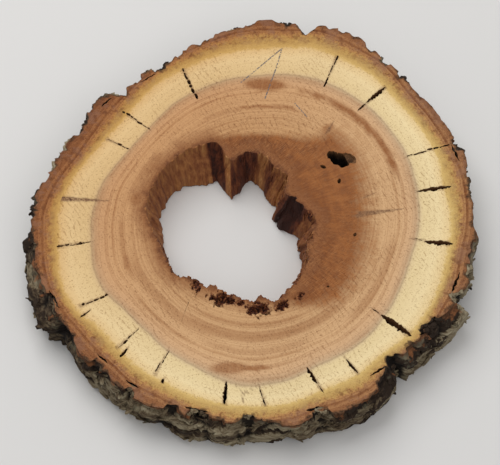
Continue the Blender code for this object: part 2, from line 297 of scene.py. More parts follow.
# Fine checks in the heartwood that stay closed: dark wedges, from an angle and radius to another.
SMEARS = (
    (359.3, 66.0, 1.8, 93.0, 2.6, 0.9), (49.8, 74.0, 51.4, 83.5, 1.3, 0.9),
    (9.0, 71.0, 10.5, 79.0, 1.0, 0.5), (175.2, 121.0, 174.4, 88.0, 2.6, 1.0),
    (267.7, 118.2, 267.8, 125.2, 0.9, 0.8), (322.0, 99.0, 321.0, 108.0, 0.7, 0.4),
    (267.7, 118.7, 264.6, 112.8, 0.6, 0.6), (267.7, 118.7, 271.6, 114.4, 0.6, 0.6),
    (50.9, 77.0, 49.3, 70.7, 1.0, 0.8),
)

# A line drawn in pencil: each stroke from x, y to x, y.
PENCIL = (
    ((19.7, 118.4), (-6.5, 93.2)), ((19.7, 118.4), (16.0, 104.0)), ((16.0, 104.0), (8.8, 81.6)),
    ((27.7, 77.8), (35.0, 68.2)),
)
PENCIL_WIDTH = 0.7

# Colour across the rings, at a ring in mm.
GROWTH_COLOURS = (
    (40, "#BF9363"), (60, "#C99E6F"), (76, "#CFA577"), (90, "#D4AA7C"), (97, "#D3AA7F"),
    (100.5, "#CFAD86"), (102.2, "#C1A782"), (103.4, "#DEC596"), (105.5, "#E6CE9B"),
    (115, "#EDD6A4"), (120.5, "#E9CD97"), (122.6, "#D6B46F"), (127.2, "#C59F5E"),
    (129.4, "#BB8B54"), (130.6, "#B08053"), (136, "#A3724A"), (150, "#80553A"),
)
# Colours from dark to light, at places on a scale of the pattern that they follow.
DARK_HEART_COLOURS = ((0.30, "#5C2E14"), (0.47, "#7C4720"), (0.62, "#9A5F30"))
WALL_COLOURS = (
    (0.08, "#34160C"), (0.28, "#5E2E19"), (0.5, "#854F2C"), (0.72, "#A8703F"), (0.95, "#C99862"),
)
# The walls of the cracks and holes: brown at the face, then painted shade, darker the deeper in.
CRACK_SHADE_COLOURS = ((0.10, "#7A5433"), (0.35, "#47301C"), (0.8, "#190F0A"))
CRUST_COLOURS = ((0.35, "#20150D"), (0.65, "#604630"))
OUTSIDE_COLOURS = (
    (0.40, "#2C2016"), (0.50, "#4E3F2E"), (0.60, "#70624B"), (0.72, "#8E8168"), (0.86, "#A99F85"),
)

# How deep each surface's fine relief is in metres, and how much it shines.
WOOD_RELIEF, BARK_RELIEF = 0.00035, 0.0011
WOOD_SHINE, BARK_SHINE = 0.3, 0.25
# Edges sharper than this, in degrees, stay sharp.
WOOD_SHARP, BARK_SHARP, FLAKE_SHARP, CRUMB_SHARP = 42, 50, 20, 30

# Kinds of node. A range's inputs are its value, from, to, and what it gives at each.
NOISE = "ShaderNodeTexNoise"
RANGE = "ShaderNodeMapRange"
MATH = "ShaderNodeMath"
VECTOR = "ShaderNodeVectorMath"
MAPPING = "ShaderNodeMapping"
RAMP = "ShaderNodeValToRGB"


def around(radii, degrees):
    """Reads radii given every 10 degrees on a smooth closed curve, for an array of angles."""
    radii = np.asarray(radii)
    place = np.asarray(degrees) / 360 * len(radii)
    first = np.floor(place).astype(int)
    t = place - first
    a, b, c, d = (radii[(first + i) % len(radii)] for i in (-1, 0, 1, 2))
    return b + 0.5 * t * (c - a + t * (2 * a - 5 * b + 4 * c - d + t * (3 * (b - c) + d - a)))


def angle_and_radius(x, y):
    return np.degrees(np.arctan2(y, x)) % 360, np.hypot(x, y)


def averaged(radii, reach):
    """Each radius averaged with its neighbours on both sides, round the closed curve."""
    near = (np.roll(radii, shift, axis=-1) for shift in range(-reach, reach + 1))
    return sum(near) / (2 * reach + 1)


def apart(degrees, middle):
    """How far angles lie from a middle one, either way round."""
    return np.abs((degrees - middle + 180) % 360 - 180)


def polar(degrees, radius):
    turn = np.radians(degrees)
    return np.stack([radius * np.cos(turn), radius * np.sin(turn)], -1)


def at_height(flat, height):
    """Points of x, y, raised to one height."""
    return np.concatenate([flat, np.full((len(flat), 1), height)], 1)


def smooth_step(low, high, value):
    share = np.clip((value - low) / (high - low), 0, 1)
    return share * share * (3 - 2 * share)


def ring_at(x, y):
    """The growth coordinate in mm: 103 at the heartwood's edge, 123 at the cambium, 130 on."""
    degrees, radius = angle_and_radius(x, y)
    heart, cambium, bark = (around(row, degrees) for row in (HEARTWOOD, CAMBIUM, OUTER_BARK))
    rounder = around(averaged(HEARTWOOD, 4), degrees)
    inner = rounder + (heart - rounder) * np.clip(radius / heart, 0, 1) ** 5
    places = (
        radius / inner * HEARTWOOD_RING,
        HEARTWOOD_RING + (radius - heart) / (cambium - heart) * (CAMBIUM_RING - HEARTWOOD_RING),
        CAMBIUM_RING + (radius - cambium) / (bark - cambium) * (OUTER_BARK_RING - CAMBIUM_RING),
        OUTER_BARK_RING + radius - bark,
    )
    return np.select([radius < heart, radius < cambium, radius < bark], places[:3], places[3])


def noise_at(points, octaves, seed):
    """Blender's noise at each row of points, from about -1 to 1."""
    offset = Vector((17.3 * seed, 5.1 * seed, -9.7 * seed))
    return np.array([noise.fractal(Vector(p) + offset, *FRACTAL, octaves) for p in points])


def cad_radii(middle, inward, columns, rows):
    """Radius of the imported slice's wall round a middle, rows by columns, by casting rays at it."""
    mesh = frame["nodes"]["wood_slice"].data
    tree = BVHTree.FromPolygons(
        [v.co / MM for v in mesh.vertices], [tuple(p.vertices) for p in mesh.polygons]
    )
    heights = np.linspace(LOW[2] + READ_MARGIN, TOP - READ_MARGIN, rows)
    radii = np.zeros((rows, columns))
    for i, height in enumerate(heights):
        for j, turn in enumerate(np.linspace(0, 2 * math.pi, columns, endpoint=False)):
            out = Vector((math.cos(turn), math.sin(turn), 0))
            base = Vector((middle[0], middle[1], height))
            start = base + out * READ_FROM if inward else base
            hit = tree.ray_cast(start, -out if inward else out)[0]
            radii[i, j] = (hit - base).length
    return heights, radii


def read_radii(heights, radii, degrees, height):
    """Reads a table from cad_radii at arrays of angles and heights, blending between its entries."""
    rows, columns = radii.shape
    across = np.asarray(degrees) / 360 * columns
    left = np.floor(across).astype(int)
    t = across - left
    up = np.clip((height - heights[0]) / (heights[-1] - heights[0]), 0, 1) * (rows - 1)
    low = np.minimum(np.floor(up).astype(int), rows - 2)
    s = up - low
    left, right = left % columns, (left + 1) % columns
    below = radii[low, left] * (1 - t) + radii[low, right] * t
    above = radii[low + 1, left] * (1 - t) + radii[low + 1, right] * t
    return below * (1 - s) + above * s


def mesh_from(bm, name):
    """A new mesh of what bm holds."""
    mesh = bpy.data.meshes.new(name)
    bm.to_mesh(mesh)
    bm.free()
    return mesh


def placed(name, data):
    """A new object in the scene."""
    obj = bpy.data.objects.new(name, data)
    bpy.context.scene.collection.objects.link(obj)
    return obj


def ring_object(name, loops):
    """A closed ring swept through loops, an array of columns by points by xyz, in millimetres."""
    columns, count = loops.shape[:2]
    index = np.arange(columns * count).reshape(columns, count)
    ahead = np.roll(index, -1, axis=0)
    faces = np.stack([index, np.roll(index, -1, 1), np.roll(ahead, -1, 1), ahead], -1)
    mesh = bpy.data.meshes.new(name)
    mesh.from_pydata((loops.reshape(-1, 3) * MM).tolist(), [], faces.reshape(-1, 4).tolist())
    return placed(name, mesh)


def oval_reach(x, y, px, py, length, width, turn):
    """How far places lie from an oval's middle, where 1 is its outline."""
    c, s = math.cos(math.radians(turn)), math.sin(math.radians(turn))
    along, across = (x - px) * c + (y - py) * s, (y - py) * c - (x - px) * s
    return np.hypot(along / (length / 2), across / (width / 2))


def pit_depth(x, y):
    """How far the upper face has crumbled away in the pits by the hollow."""
    rough = noise_at(np.stack([x / 2.6, y / 2.6, 0 * x], -1), 4, seed=3) * 0.7
    depth = np.zeros_like(x)
    for *oval, deep in PITS:
        reach = oval_reach(x, y, *oval) + rough
        depth = np.maximum(depth, deep * (1 - smooth_step(0.55, 1.05, reach)))
    return depth


def wall_plates(degrees, height):
    """Which split plate of the hollow's wall a place is on: its level in mm, and its tone 0 to 1."""
    rng = np.random.default_rng(SEED + 1)
    edges = np.sort(rng.uniform(0, 360, WALL_PLATES))
    levels = rng.uniform(-1.0, 1.0, WALL_PLATES + 1)
    tones = rng.uniform(0, 1, WALL_PLATES + 1)
    wander = 0.9 * np.sin(height / 5.0 + np.floor(degrees / 9) * 2.1)
    number = np.searchsorted(edges, (degrees + wander) % 360)
    smooth = np.interp(degrees, *zip(*WALL_SPLITS))
    return levels[number] * smooth, tones[number] * smooth + 0.5 * (1 - smooth)


def wall_at(height, degrees, heights, radii):
    """The hollow's wall at one height, as points of x, y, with its torn fibres."""
    out = polar(degrees, 1.0)
    base = read_radii(heights, radii, degrees, np.full(len(degrees), height))
    place = at_height(out * base[:, None], height)
    coarse = noise_at(place / (3.2, 3.2, 30.0), 2, seed=1)
    fine = noise_at(place / (1.1, 1.1, 14.0), 2, seed=2)
    level = wall_plates(degrees, height)[0]
    torn = (0.25 + 0.5 * np.abs(level)) * coarse + level + 0.3 * fine
    return HOLLOW_MIDDLE + out * (base + torn)[:, None]


def sawn_face(inner, rim, rows, height):
    """Rings of points from the hollow's edge out to the rim, close together by the edge."""
    span = np.linalg.norm(rim - inner, axis=1)
    shares = [step * WOOD_EDGE_STEP / span for step in range(1, WOOD_EDGE_ROWS + 1)]
    start = shares[-1]
    shares += [start + (1 - start) * row / rows for row in range(1, rows)]
    return [at_height(inner + (rim - inner) * share[:, None], height) for share in shares]


def crumble(rows):
    """Lowers the upper face in its pits, and roughens it by the hollow's edge."""
    for number, row in enumerate(rows):
        pit = pit_depth(row[:, 0], row[:, 1])
        grain = np.clip(noise_at(row / 1.6, 2, seed=4) + 0.3, 0, 1)
        near = math.exp(-number * WOOD_EDGE_STEP / 1.2)
        row[:, 2] -= pit + grain * (0.9 * near + 0.25 * pit)


def make_wood():
    """Heartwood and sapwood: hollow wall, upper face, a side hidden by the bark, lower face."""
    heights, radii = cad_radii(HOLLOW_MIDDLE, False, WOOD_COLUMNS, READ_ROWS)
    degrees = np.degrees(np.linspace(0, 2 * math.pi, WOOD_COLUMNS, endpoint=False))
    rim = polar(degrees, around(CAMBIUM, degrees))
    wall_heights = np.linspace(LOW[2], TOP, WOOD_WALL_ROWS + 1)
    wall = [at_height(wall_at(h, degrees, heights, radii), h) for h in wall_heights]
    upper = sawn_face(wall[-1][:, :2], rim, WOOD_FACE_ROWS, TOP)
    lower = sawn_face(wall[0][:, :2], rim, WOOD_UNDER_ROWS, LOW[2])
    crumble([wall[-1], *upper][:WOOD_PIT_ROWS])
    side = [at_height(rim, TOP), at_height(rim, LOW[2])]
    return ring_object("end_grain", np.stack(wall + upper + side + lower[::-1], 1))


def bark_relief(degrees, heights):
    """The outer bark's own relief in mm, and the tone of each plate, at arrays of angles and heights."""
    turns = np.radians(degrees - BARK_LEAN * (heights - TOP))
    places = np.stack([BARK_ROUND * np.cos(turns), BARK_ROUND * np.sin(turns), heights], -1)
    warp = noise_at(places / 6.0, 3, seed=5)[:, None] * (4.0, 4.0, 3.0)
    gap, level, tone = np.zeros((3, len(places)))
    for i, place in enumerate((places + warp) / PLATE_SIZE):
        distances, seeds = noise.voronoi(Vector(place))
        gap[i] = distances[1] - distances[0]
        level[i] = noise.cell(seeds[0] * 7.3)
        tone[i] = noise.cell(seeds[0] * 3.1)
    furrow = 1 - smooth_step(0.0, 0.11, gap)
    layers = noise_at(places / LAYER_SIZE, 3, seed=6) * LAYER_STEPS
    steps = (np.floor(layers) + smooth_step(0.75, 1.0, layers - np.floor(layers))) / LAYER_STEPS
    shreds = noise_at(places / SHRED_SIZE, 4, seed=8)
    relief = PLATE_RELIEF * level + LAYER_RELIEF * steps + SHRED_RELIEF * shreds
    return relief - FURROW_DEPTH * furrow, tone


def broken_at(degrees, heights):
    """How far the bark is broken back under its upper edge, in mm."""
    turns = np.radians(degrees)
    places = np.stack([BARK_ROUND * np.cos(turns), BARK_ROUND * np.sin(turns), heights], -1)
    ragged = noise_at(places / 3.0, 4, seed=11) * 0.7
    broken = np.zeros(len(degrees))
    for middle, half, depth, reach in BREAKS:
        off = (apart(degrees, middle) / half) ** 2
        down = ((TOP - heights) / reach) ** 2
        broken = np.maximum(broken, depth * (1 - smooth_step(0.5, 1.15, off + down + ragged)))
    return broken


def bark_table():
    """Radius of the bark's outside, and its plates' tone, at rows of heights and columns of angles."""
    heights, radii = cad_radii((0.0, 0.0), True, READ_BARK_COLUMNS, READ_ROWS)
    read_at = np.linspace(0, 360, READ_BARK_COLUMNS, endpoint=False)
    degrees = np.linspace(0, 360, BARK_COLUMNS, endpoint=False)
    angles, kept, added = zip(*BARK_ROUGH)
    smooth = averaged(radii, 9)
    radii = smooth + (radii - smooth) * np.interp(read_at, angles, kept)
    rough = np.interp(degrees, angles, added)
    levels = np.linspace(LOW[2], TOP, BARK_SIDE_ROWS + 1)
    rows, tones = [], []
    for height in levels:
        flat = np.full(BARK_COLUMNS, height)
        edge = math.exp(-min(TOP - height, height - LOW[2]) / 0.8)
        relief, tone = bark_relief(degrees, flat)
        relief = relief * (1 - 0.5 * edge) * rough - 0.2 * edge
        rows.append(read_radii(heights, radii, degrees, flat) + relief - broken_at(degrees, flat))
        tones.append(tone)
    return levels, np.array(rows), np.array(tones)


def hollows_of(table, across=24, up=8):
    """How far each entry stands out from those near it: below 0 in a furrow or a break."""
    padded = np.pad(averaged(table, across), ((up, up), (0, 0)), mode="edge")
    span = 2 * up + 1
    return table - sum(padded[row:row + len(table)] for row in range(span)) / span


def make_bark(levels, table):
    """Inner and outer bark, as a ring round the wood with a rough outer side."""
    degrees = np.linspace(0, 360, BARK_COLUMNS, endpoint=False)
    rim = around(CAMBIUM, degrees)
    shares = np.linspace(0, 1, BARK_FACE_ROWS + 1)[1:-1]
    columns = [(rim, LOW[2])]
    columns += [(rim + (table[0] - rim) * share, LOW[2]) for share in shares]
    columns += list(zip(table, levels))
    columns += [(rim + (table[-1] - rim) * share, TOP) for share in shares[::-1]]
    columns.append((rim, TOP))
    loops = np.stack([at_height(polar(degrees, radius), height) for radius, height in columns], 1)
    loops[..., :2] = np.clip(loops[..., :2], LOW[:2], HIGH[:2])
    return ring_object("bark", loops[::-1])


def slot(verts, faces, path, half_widths, depth):
    """Adds a closed slot cutter along a path, jagged, and narrower at its foot."""
    first = len(verts)
    run = path[-1] - path[0]
    side = np.array((-run[1], run[0])) / np.linalg.norm(run)
    levels = ((TOP + 1, 1.0), (TOP - SLOT_LIP, SLOT_NECK), (TOP - depth, SLOT_FOOT))
    corners = [(1, *level) for level in levels] + [(-1, *level) for level in levels[::-1]]
    for place, (left, right) in zip(path, half_widths):
        for hand, height, share in corners:
            reach = left * share if hand > 0 else -right * share
            verts.append((*(place + side * reach), height))
    count, steps = len(corners), len(path) - 1
    for i in range(steps):
        a, b = first + count * i, first + count * (i + 1)
        faces += [(a + k, a + (k + 1) % count, b + (k + 1) % count, b + k) for k in range(count)]
    faces.append(tuple(first + k for k in range(count))[::-1])
    faces.append(tuple(first + count * steps + k for k in range(count)))


def jagged(rng, count, width, point):
    """Half widths either side of a slot, narrow at both ends and torn between."""
    share = np.linspace(0, 1, count)
    swell = point + (1 - point) * np.sin(math.pi * share) ** 0.7
    torn = np.stack([rng.uniform(0.5, 1.2, count + 1), rng.uniform(0.1, 1.6, count + 1)], -1)
    torn = (torn[1:] + torn[:-1]) / 2
    return np.maximum(width / 2 * swell[:, None] * torn, 0.08)


def crack_slots(rng, verts, faces, crack):
    """Adds the row of slots that one crack is broken into."""
    start_angle, end_angle, inner, outer, width, depth, pieces = crack
    broken = pieces > 2
    cuts = np.linspace(0, 1, pieces + 1)
    cuts[1:-1] += rng.uniform(-BREAK_STRAY, BREAK_STRAY, pieces - 1) / pieces
    for a, b in zip(cuts[:-1], cuts[1:]):
        b -= BREAK_GAP * (b - a) if pieces > 1 else 0
        count = max(4, int((b - a) * (outer - inner) / SLOT_STEP))
        share = np.linspace(a, b, count)
        sway = rng.uniform(-CRACK_SWAY, CRACK_SWAY) if broken else 0
        degrees = start_angle + (end_angle - start_angle) * share + sway
        path = polar(degrees, inner + (outer - inner) * share)
        size = width * (rng.uniform(*SLOT_WIDTHS) if pieces > 1 else 1.0)
        middle = math.sin(math.pi * min(max((a + b) / 2, 0.15), 0.85)) ** 0.5
        half_widths = jagged(rng, count, size * middle, BLUNT if broken else POINTED)
        slot(verts, faces, path, half_widths, depth * (SHALLOW if broken else 1.0))


def crack_cutter():
    """One mesh of closed slots, for every crack and every gap in the bark."""
    rng = np.random.default_rng(SEED)
    verts, faces = [], []
    for crack in CRACKS:
        crack_slots(rng, verts, faces, crack)
    for start_angle, end_angle, radius, width, depth in BARK_GAPS:
        count = max(6, int(math.radians(end_angle - start_angle) * radius / GAP_STEP))
        degrees = np.linspace(start_angle, end_angle, count)
        path = polar(degrees, radius + np.cumsum(rng.uniform(-GAP_WANDER, GAP_WANDER, count)))
        slot(verts, faces, path, jagged(rng, count, width, POINTED), depth)
    mesh = bpy.data.meshes.new("crack_cutter")
    mesh.from_pydata((np.array(verts) * MM).tolist(), [], faces)
    return mesh


def hole_cutter(number, x, y, length, width, turn, depth):
    """A lumpy egg shape for one of the holes in the heartwood."""
    bm = bmesh.new()
    bmesh.ops.create_icosphere(bm, subdivisions=5, radius=1)
    spin = Matrix.Rotation(math.radians(turn), 3, "Z")
    for vert in bm.verts:
        lump = 1 + 0.20 * noise.fractal(vert.co * 1.8 + Vector((number, 0, 0)), *FRACTAL, 4)
        shaped = Vector((vert.co.x * length / 2, vert.co.y * width / 2, vert.co.z * depth))
        vert.co = ((spin @ shaped) * lump + Vector((x, y, TOP))) * MM
    return mesh_from(bm, "hole_cutter")


def outward(mesh):
    """Turns every face of a mesh outwards."""
    bm = bmesh.new()
    bm.from_mesh(mesh)
    bmesh.ops.recalc_face_normals(bm, faces=bm.faces)
    bm.to_mesh(mesh)
    bm.free()


def carve(obj, mesh):
    """Cuts a mesh out of an object, for good."""
    outward(mesh)
    cutter = placed("cutter", mesh)
    modifier = obj.modifiers.new("cut", "BOOLEAN")
    modifier.operation = "DIFFERENCE"
    modifier.object = cutter
    modifier.solver = "MANIFOLD"
    finish_modifiers(obj)
    bpy.data.objects.remove(cutter)


def finish_modifiers(obj):
    """Swaps an object's mesh for the one its modifiers make."""
    bpy.context.view_layer.update()
    graph = bpy.context.evaluated_depsgraph_get()
    mesh = bpy.data.meshes.new_from_object(obj.evaluated_get(graph))
    obj.modifiers.clear()
    obj.data = mesh


def float_attribute(mesh, name, values):
    data = mesh.attributes.new(name, "FLOAT", "POINT").data
    data.foreach_set("value", np.asarray(values, np.float32))


def points_of(mesh):
    flat = np.empty(len(mesh.vertices) * 3, np.float32)
    mesh.vertices.foreach_get("co", flat)
    return flat.reshape(-1, 3).astype(float) / MM


def inside_outline(x, y, outline):
    """Distance in mm to a closed outline, above 0 inside it."""
    points = np.array(outline, float)
    nearest = np.full(x.shape, 1e9)
    inside = np.zeros(x.shape, bool)
    for (ax, ay), (bx, by) in zip(points, np.roll(points, -1, axis=0)):
        run = (bx - ax) ** 2 + (by - ay) ** 2
        share = np.clip(((x - ax) * (bx - ax) + (y - ay) * (by - ay)) / run, 0, 1)
        gap = np.hypot(x - ax - share * (bx - ax), y - ay - share * (by - ay))
        nearest = np.minimum(nearest, gap)
        crosses = (ay > y) != (by > y)
        slope = (bx - ax) / (by - ay) if by != ay else 0
        inside ^= crosses & (x < ax + (y - ay) * slope)
    return np.where(inside, nearest, -nearest)


def stain_at(x, y, ring):
    """Strength of the brown stains, from 0 to 1."""
    degrees = angle_and_radius(x, y)[0]
    stain = np.zeros_like(x)
    for *oval, strength in PATCHES:
        patch = 1 - smooth_step(0.6, 1.15, oval_reach(x, y, *oval))
        stain = np.maximum(stain, strength * patch)
    for start, end, place, width, strength in ARCS:
        off = apart(degrees, (start + end) / 2) / ((end - start) / 2)
        across = np.abs(ring - place) / (width / 2)
        band = (1 - smooth_step(0.35, 1.0, across)) * (1 - smooth_step(0.6, 1.0, off))
        stain = np.maximum(stain, strength * band)
    return stain


def smear_at(x, y):
    """Strength of the dark wedges along the radius, also beside each crack, from 0 to 1."""
    smear = np.zeros_like(x)
    halos = [
        (end, outer + 1.0, start, inner - 2.0, 0.55 * width + 0.7, 0.6)
        for start, end, inner, outer, width, *_ in CRACKS
    ]
    for a0, r0, a1, r1, width, strength in (*SMEARS, *halos):
        start, end = polar(a0, r0), polar(a1, r1)
        run = end - start
        length = np.hypot(*run)
        along = ((x - start[0]) * run[0] + (y - start[1]) * run[1]) / length
        across = np.abs((y - start[1]) * run[0] - (x - start[0]) * run[1]) / length
        share = along / length
        half = width * np.clip(1 - share, 0.05, 1) ** 0.7
        inside = (share > -0.04) & (share < 1)
        line = strength * (1 - smooth_step(0.5, 1.0, across / half)) * inside
        smear = np.maximum(smear, line)
    return smear


def warm_at(x, y):
    """How much warmer the colours are: 1 at the back on the left, 0 at the front on the right."""
    return smooth_step(-60, 120, 0.6 * y - 0.8 * x)


def mark_wood(obj, heights, radii):
    """Gives the wood's points what its material reads."""
    mesh = obj.data
    places = points_of(mesh)
    x, y, z = places.T
    ring = ring_at(x, y)
    degrees, radius = angle_and_radius(x - HOLLOW_MIDDLE[0], y - HOLLOW_MIDDLE[1])
    edge = read_radii(heights, radii, degrees, np.where(z > TOP / 2, TOP, LOW[2]))
    fade = np.interp(x, (25, 60), DARK_HEART_FADES)
    tone = wall_plates(degrees, z)[1] - 0.5
    light = np.interp(degrees, *zip(*WALL_LIGHT)) + 0.4 * tone
    crumbly = smooth_step(0.3, 1.0, pit_depth(x, y)) * (z > TOP - 8)
    lumps = 0.22 + 0.5 * noise_at(places / 1.3, 2, seed=14)
    float_attribute(mesh, "ring", ring)
    float_attribute(mesh, "rim", radius - edge)
    float_attribute(mesh, "deep", np.minimum(TOP - z, z - LOW[2]))
    float_attribute(mesh, "dark_heart", smooth_step(-fade, fade, inside_outline(x, y, DARK_HEART)))
    float_attribute(mesh, "stain", stain_at(x, y, ring))
    float_attribute(mesh, "smear", smear_at(x, y))
    float_attribute(mesh, "wall_light", light + (lumps - light) * crumbly)
    float_attribute(mesh, "turn", degrees)
    float_attribute(mesh, "warm", warm_at(x, y))


def mark_bark(obj, levels, table, tones, loose):
    """Gives the bark's points what its material reads. A loose flake is weathered all over, with lumps of
    painted shade.
    """
    mesh = obj.data
    places = points_of(mesh)
    x, y, z = places.T
    degrees, radius = angle_and_radius(x, y)
    inside = read_radii(levels, table, degrees, z) - radius
    # How far the surface lies below its surroundings: the bark's painted shade follows it.
    relief = read_radii(levels, hollows_of(table), degrees, z)
    if loose:
        # A loose piece gets its painted shade in lumps of its own, and its colour as bark this far below
        # the upper face.
        lumps = noise_at(places / LOOSE_SHADE_LUMPS, 2, seed=15)
        inside, relief = np.zeros_like(z), 0.3 + 2.0 * lumps
        z = np.minimum(z, TOP - LOOSE_DEEP)
    deep = np.where((inside < 0.3) & (z < TOP / 2), TOP / 2, np.minimum(TOP - z, z - LOW[2]))
    float_attribute(mesh, "ring", ring_at(x, y))
    float_attribute(mesh, "inside", inside)
    float_attribute(mesh, "relief", relief)
    float_attribute(mesh, "deep", deep)
    float_attribute(mesh, "below_top", TOP - z)
    float_attribute(mesh, "plate", read_radii(levels, tones, degrees, z))
    float_attribute(mesh, "warm", warm_at(x, y))


def linear(code, alpha=1.0):
    """An sRGB hex colour as Blender's linear numbers."""
    parts = [int(code[i:i + 2], 16) / 255 for i in (1, 3, 5)]
    return (*(c / 12.92 if c <= 0.04045 else ((c + 0.055) / 1.055) ** 2.4 for c in parts), alpha)


def add(tree, kind, inputs=(), stops=(), out=0, **settings):
    """One node, and one of its outputs. inputs holds values and outputs, by socket or in the order
    of the sockets; stops are a ramp's."""
    node = tree.nodes.new(kind)
    for name, value in settings.items():
        setattr(node, name, value)
    pairs = inputs.items() if isinstance(inputs, dict) else enumerate(inputs)
    for key, value in pairs:
        if isinstance(value, bpy.types.NodeSocket):
            tree.links.new(value, node.inputs[key])
        else:
            is_colour = isinstance(value, str) and value.startswith("#")
            node.inputs[key].default_value = linear(value) if is_colour else value
    for number, (place, code) in enumerate(stops):
        elements = node.color_ramp.elements
        element = elements[number] if number < 2 else elements.new(place)
        element.position = place
        element.color = linear(code)
    return node.outputs[out] if node.outputs else None


def new_material(name):
    material = bpy.data.materials.new(name)
    material.use_nodes = True
    material.node_tree.nodes.clear()
    return material, material.node_tree


def chip_mesh(number, size, lumpy):
    """One loose chip: a boxy, lumpy pebble of a few dozen faces, of a size in mm."""
    bm = bmesh.new()
    bmesh.ops.create_icosphere(bm, subdivisions=2, radius=1)
    for vert in bm.verts:
        boxy = Vector([math.copysign(abs(c) ** 0.6, c) for c in vert.co])
        lump = 1 + lumpy * noise.fractal(vert.co * 1.7 + Vector((9.0 * number, 0, 0)), *FRACTAL, 3)
        vert.co = Vector([c * lump * length / 2 * MM for c, length in zip(boxy, size)])
    return mesh_from(bm, "chip")


def scatter_tree(chips, material):
    """Geometry Nodes: lays chips on a surface, as thickly as its "scatter" attribute says."""
    tree = bpy.data.node_groups.new("scattered_chips", "GeometryNodeTree")
    tree.interface.new_socket("Geometry", in_out="INPUT", socket_type="NodeSocketGeometry")
    for name in ("Density", "Tilt", "Turn", "Smallest", "Largest"):
        tree.interface.new_socket(name, in_out="INPUT", socket_type="NodeSocketFloat")
    tree.interface.new_socket("Seed", in_out="INPUT", socket_type="NodeSocketInt")
    tree.interface.new_socket("Geometry", in_out="OUTPUT", socket_type="NodeSocketGeometry")
    given = tree.nodes.new("NodeGroupInput").outputs
    share = add(tree, "GeometryNodeInputNamedAttribute", {"Name": "scatter"}, data_type="FLOAT")
    density = add(tree, MATH, (share, given["Density"]), operation="MULTIPLY")
    points = add(tree, "GeometryNodeDistributePointsOnFaces", {
        "Mesh": given["Geometry"], "Density": density, "Seed": given["Seed"]})
    flat = add(tree, "FunctionNodeAlignRotationToVector",
               {"Vector": points.node.outputs["Normal"]}, axis="Z")
    upright = add(tree, "FunctionNodeAlignRotationToVector", {"Rotation": flat, "Vector": (0, 0, 1)},
                  axis="Y", pivot_axis="Z")
    pieces = add(tree, "GeometryNodeCollectionInfo", {
        "Collection": chips, "Separate Children": True, "Reset Children": True})
    scale = add(tree, "FunctionNodeRandomValue", {
        2: given["Smallest"], 3: given["Largest"], "Seed": given["Seed"]}, out=1, data_type="FLOAT")
    laid = add(tree, "GeometryNodeInstanceOnPoints", {
        "Points": points, "Instance": pieces, "Pick Instance": True, "Rotation": upright,
        "Scale": scale})
    most = add(tree, "ShaderNodeCombineXYZ", {
        "X": given["Tilt"], "Y": given["Tilt"], "Z": given["Turn"]})
    least = add(tree, VECTOR, {0: most, "Scale": -1.0}, operation="SCALE")
    angles = add(tree, "FunctionNodeRandomValue", {0: least, 1: most, "Seed": given["Seed"]},
                 data_type="FLOAT_VECTOR")
    spin = add(tree, "FunctionNodeEulerToRotation", {"Euler": angles})
    turned = add(tree, "GeometryNodeRotateInstances", {
        "Instances": laid, "Rotation": spin, "Local Space": True})
    real = add(tree, "GeometryNodeRealizeInstances", {"Geometry": turned})
    finished = add(tree, "GeometryNodeSetMaterial", {"Geometry": real, "Material": material})
    add(tree, "NodeGroupOutput", {"Geometry": finished})
    return tree


def held_below(heights):
    """Presses what is near the upper face and above it together, so that nothing stands proud."""
    above = np.maximum(heights - TOP + CHIP_SQUEEZE, 0)
    return heights - above + CHIP_FILL * CHIP_SQUEEZE * (1 - np.exp(-above / CHIP_SQUEEZE))


def scatter(name, host, shares, kind, material):
    """Chips over a host's surface, as a plain mesh of their own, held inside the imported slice's box."""
    size, lumpy, density, tilt, turn, smallest, largest, seed = kind
    chips = bpy.data.collections.new("chips")
    bpy.context.scene.collection.children.link(chips)
    for number in range(CHIP_SHAPES):
        chips.objects.link(bpy.data.objects.new("chip", chip_mesh(number, size, lumpy)))
    tree = scatter_tree(chips, material)
    obj = placed(name, host.data.copy())
    float_attribute(obj.data, "scatter", shares)
    modifier = obj.modifiers.new("scatter", "NODES")
    modifier.node_group = tree
    values = {
        "Density": density, "Tilt": math.radians(tilt), "Turn": math.radians(turn),
        "Smallest": smallest, "Largest": largest, "Seed": seed,
    }
    for socket in tree.interface.items_tree:
        if socket.name in values:
            modifier[socket.identifier] = values[socket.name]
    finish_modifiers(obj)
    for chip in list(chips.objects):
        bpy.data.objects.remove(chip)
    bpy.data.collections.remove(chips)
    bpy.data.node_groups.remove(tree)
    held = points_of(obj.data)
    held[:, 2] = held_below(held[:, 2])
    held = np.clip(held, LOW, HIGH) * MM
    obj.data.vertices.foreach_set("co", held.astype(np.float32).ravel())
    return obj


def bark_chips(bark, levels, table, finish):
    """Flakes on the bark's outside, and crumbs along its crumbled upper edge."""
    places = points_of(bark.data)
    x, y, z = places.T
    degrees, radius = angle_and_radius(x, y)
    outer = read_radii(levels, table, degrees, z) - radius < 0.3
    patchy = smooth_step(-0.25, 0.15, noise_at(places / 12.0, 2, seed=12))
    flaking = outer * (z < TOP - 4) * (z > LOW[2] + 3) * patchy
    flaking = flaking * np.interp(degrees, *zip(*FLAKE_PLACES))
    crumbled = np.zeros_like(z)
    for middle, half in FRINGES:
        crumbled = np.maximum(crumbled, 1 - smooth_step(0.5, 1.0, apart(degrees, middle) / half))
    crumbled = crumbled * outer * smooth_step(TOP - 5, TOP - 1.5, z)
    flakes = scatter("bark_flakes", bark, flaking, FLAKES, finish)
    return flakes, scatter("edge_crumbs", bark, crumbled, EDGE_CRUMBS, finish)


